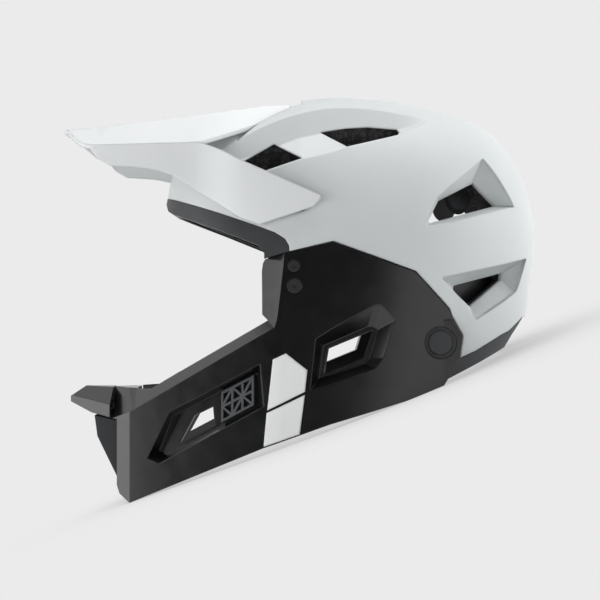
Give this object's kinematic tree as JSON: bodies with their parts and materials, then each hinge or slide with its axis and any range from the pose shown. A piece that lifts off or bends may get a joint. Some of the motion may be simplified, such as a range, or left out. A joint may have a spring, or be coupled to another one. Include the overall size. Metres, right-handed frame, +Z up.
{
  "type": "full face helmet",
  "caption": "Full face bike helmet with a tilting visor, vents, a slotted chin bar that slides off when its side buttons are pressed, and pads and straps inside.",
  "frame": {"origin": "centre of the bounding box's bottom face, on the surface the helmet stands on", "axes": "+Z up, +X from the face to the nape, -Y towards the rider's left"},
  "size_m": [0.3636, 0.217, 0.2683],
  "materials": {
    "white_shell": "satin",
    "white_stripe": "satin",
    "black_shell": "matte",
    "dark_trim": "matte",
    "black_fittings": "satin",
    "bead_foam": "matte",
    "pad_cloth": "matte",
    "webbing": "matte",
    "soft_rubber": "matte",
    "bright_steel": "satin"
  },
  "bodies": {
    "shell": {"outer_shell": "white_shell", "foam_liner": "bead_foam", "brow_trim": "dark_trim", "rear_trim": "dark_trim", "brow_pad": "pad_cloth", "buckle_socket": "black_fittings", "buckle_tab": "black_fittings", "buckle_magnet": "bright_steel", "fit_cradle": "black_fittings", "fit_dial_housing": "black_fittings", "visor_socket_left": "black_fittings", "visor_socket_right": "black_fittings", "latch_receiver_left": "black_fittings", "latch_receiver_right": "black_fittings", "crown_pad_left": "pad_cloth", "crown_pad_right": "pad_cloth", "ear_pad_left": "pad_cloth", "ear_pad_right": "pad_cloth", "front_slip_disc_left": "soft_rubber", "front_slip_disc_right": "soft_rubber", "rear_slip_disc_left": "soft_rubber", "rear_slip_disc_right": "soft_rubber", "chin_strap_left": "webbing", "chin_strap_right": "webbing", "strap_anchor_left": "black_fittings", "strap_anchor_right": "black_fittings"},
    "visor": {"visor": "white_shell"},
    "chin_bar": {"chin_bar": "black_shell", "mouth_vent": "dark_trim", "chin_pad": "pad_cloth", "cheek_pad_left": "pad_cloth", "cheek_pad_right": "pad_cloth", "chin_foam_left": "bead_foam", "chin_foam_right": "bead_foam", "upper_stripe_left": "white_stripe", "upper_stripe_right": "white_stripe", "lower_stripe_left": "white_stripe", "lower_stripe_right": "white_stripe", "side_grille_left": "dark_trim", "side_grille_right": "dark_trim", "button_bezel_left": "black_fittings", "button_bezel_right": "black_fittings", "latch_housing_left": "black_fittings", "latch_housing_right": "black_fittings", "upper_plug_left": "black_fittings", "upper_plug_right": "black_fittings", "lower_plug_left": "black_fittings", "lower_plug_right": "black_fittings"},
    "fit_dial": {"fit_dial": "black_fittings"},
    "release_button_left": {"release_button_left": "dark_trim", "button_spring_left": "bright_steel"},
    "latch_bolt_left": {"latch_bolt_left": "bright_steel"},
    "release_button_right": {"release_button_right": "dark_trim", "button_spring_right": "bright_steel"},
    "latch_bolt_right": {"latch_bolt_right": "bright_steel"}
  },
  "joints": [
    {"name": "visor_tilt", "type": "hinge", "parent": "shell", "child": "visor", "pos_m": [0.02524, 0, 0.1526], "axis": [0, 1, 0], "range_deg": [-2.2, 3.4]},
    {"name": "chin_bar_slide", "type": "slide", "parent": "shell", "child": "chin_bar", "axis": [-1, 0, 0], "range_m": [0, 0.16]},
    {"name": "fit_dial_turn", "type": "hinge", "parent": "shell", "child": "fit_dial", "pos_m": [0.13234, 0, 0.03142], "axis": [0.9307, 0, -0.3658], "continuous": true},
    {"name": "button_press_left", "type": "slide", "parent": "chin_bar", "child": "release_button_left", "axis": [0, 1, 0], "range_m": [0, 0.003], "stiffness_N_per_m": 800, "springref_m": -0.001, "deforming": ["button_spring_left"]},
    {"name": "latch_bolt_slide_left", "type": "slide", "parent": "chin_bar", "child": "latch_bolt_left", "axis": [-1, 0, 0], "range_m": [0, 0.004]},
    {"name": "button_press_right", "type": "slide", "parent": "chin_bar", "child": "release_button_right", "axis": [0, -1, 0], "range_m": [0, 0.003], "stiffness_N_per_m": 800, "springref_m": -0.001, "deforming": ["button_spring_right"]},
    {"name": "latch_bolt_slide_right", "type": "slide", "parent": "chin_bar", "child": "latch_bolt_right", "axis": [-1, 0, 0], "range_m": [0, 0.004]}
  ],
  "couplings": [
    {"joint": "latch_bolt_slide_left", "follows": "button_press_left", "ratio": 1.3333},
    {"joint": "latch_bolt_slide_right", "follows": "button_press_right", "ratio": 1.3333}
  ]
}
